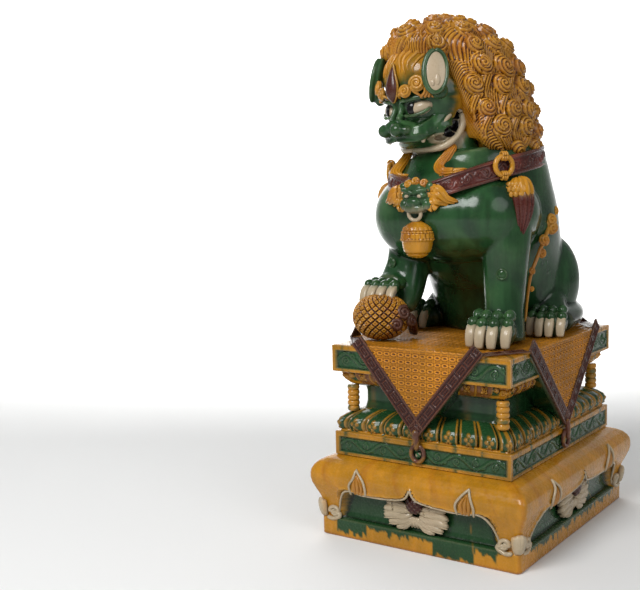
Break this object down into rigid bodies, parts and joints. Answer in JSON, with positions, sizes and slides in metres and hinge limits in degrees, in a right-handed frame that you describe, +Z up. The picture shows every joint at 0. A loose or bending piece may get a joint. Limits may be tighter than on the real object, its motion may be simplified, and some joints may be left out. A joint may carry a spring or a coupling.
{
  "type": "ceramic foo dog statue",
  "caption": "Guardian lion with a curled mane, harness and ball, sitting on a cloth-draped pedestal over a cushion-shaped plinth, glazed in green, amber and aubergine.",
  "frame": {"origin": "centre of the plinth's underside", "axes": "+Z up, the lion's chest faces -Y, the lion's own left side is towards +X"},
  "size_m": [0.726, 0.88, 1.5743],
  "materials": {
    "amber_glaze": "glossy amber lead glaze, burnt orange at the edges, with green runs over the foot",
    "cloth_and_green_glaze": "glossy green, amber and aubergine glazes on carved bands, petals and the moulded cloth",
    "green_glaze": "glossy translucent emerald glaze on the body, amber on the mane, cream on teeth and claws"
  },
  "bodies": {
    "root": {"plinth": "amber_glaze", "pedestal": "cloth_and_green_glaze", "lion": "green_glaze"}
  },
  "joints": []
}
